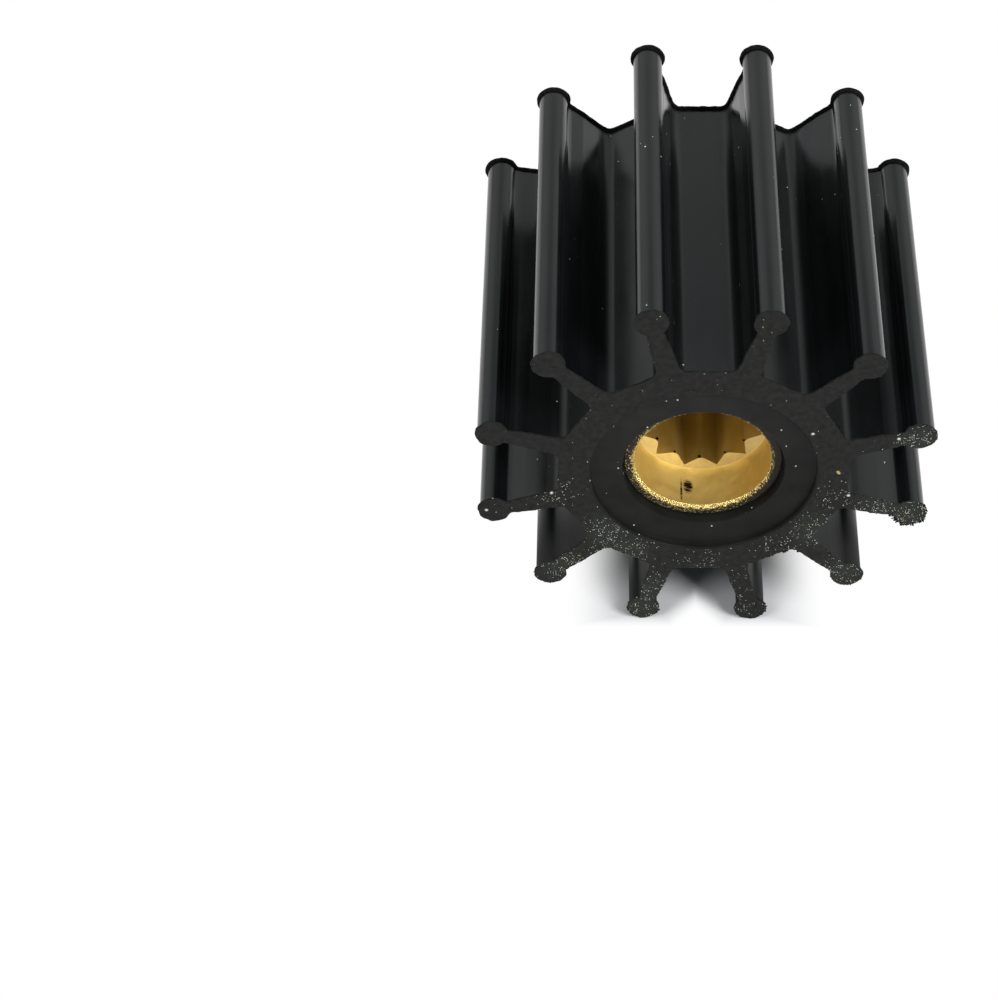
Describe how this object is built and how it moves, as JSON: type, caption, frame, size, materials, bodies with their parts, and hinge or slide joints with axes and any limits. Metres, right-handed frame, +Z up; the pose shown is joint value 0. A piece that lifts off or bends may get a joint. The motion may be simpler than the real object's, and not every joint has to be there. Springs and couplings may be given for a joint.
{
  "type": "rubber pump impeller",
  "caption": "Flexible-vane pump impeller: straight bead-tipped rubber blades on a hub moulded round a brass insert with a counterbore and a star-shaped shaft spline.",
  "frame": {"origin": "on the shaft axis, midway between the two end faces", "axes": "+Y along the shaft axis from the recessed front face to the rear face; +Z up, with the part resting on two blade tips"},
  "size_m": [0.056, 0.048, 0.056],
  "materials": {
    "rubber": "moulded satin black sides, dull ground end faces",
    "brass": "turned counterbore, broached spline, lightly tarnished"
  },
  "bodies": {
    "root": {"rubber_body": "rubber", "brass_insert": "brass"}
  },
  "joints": []
}
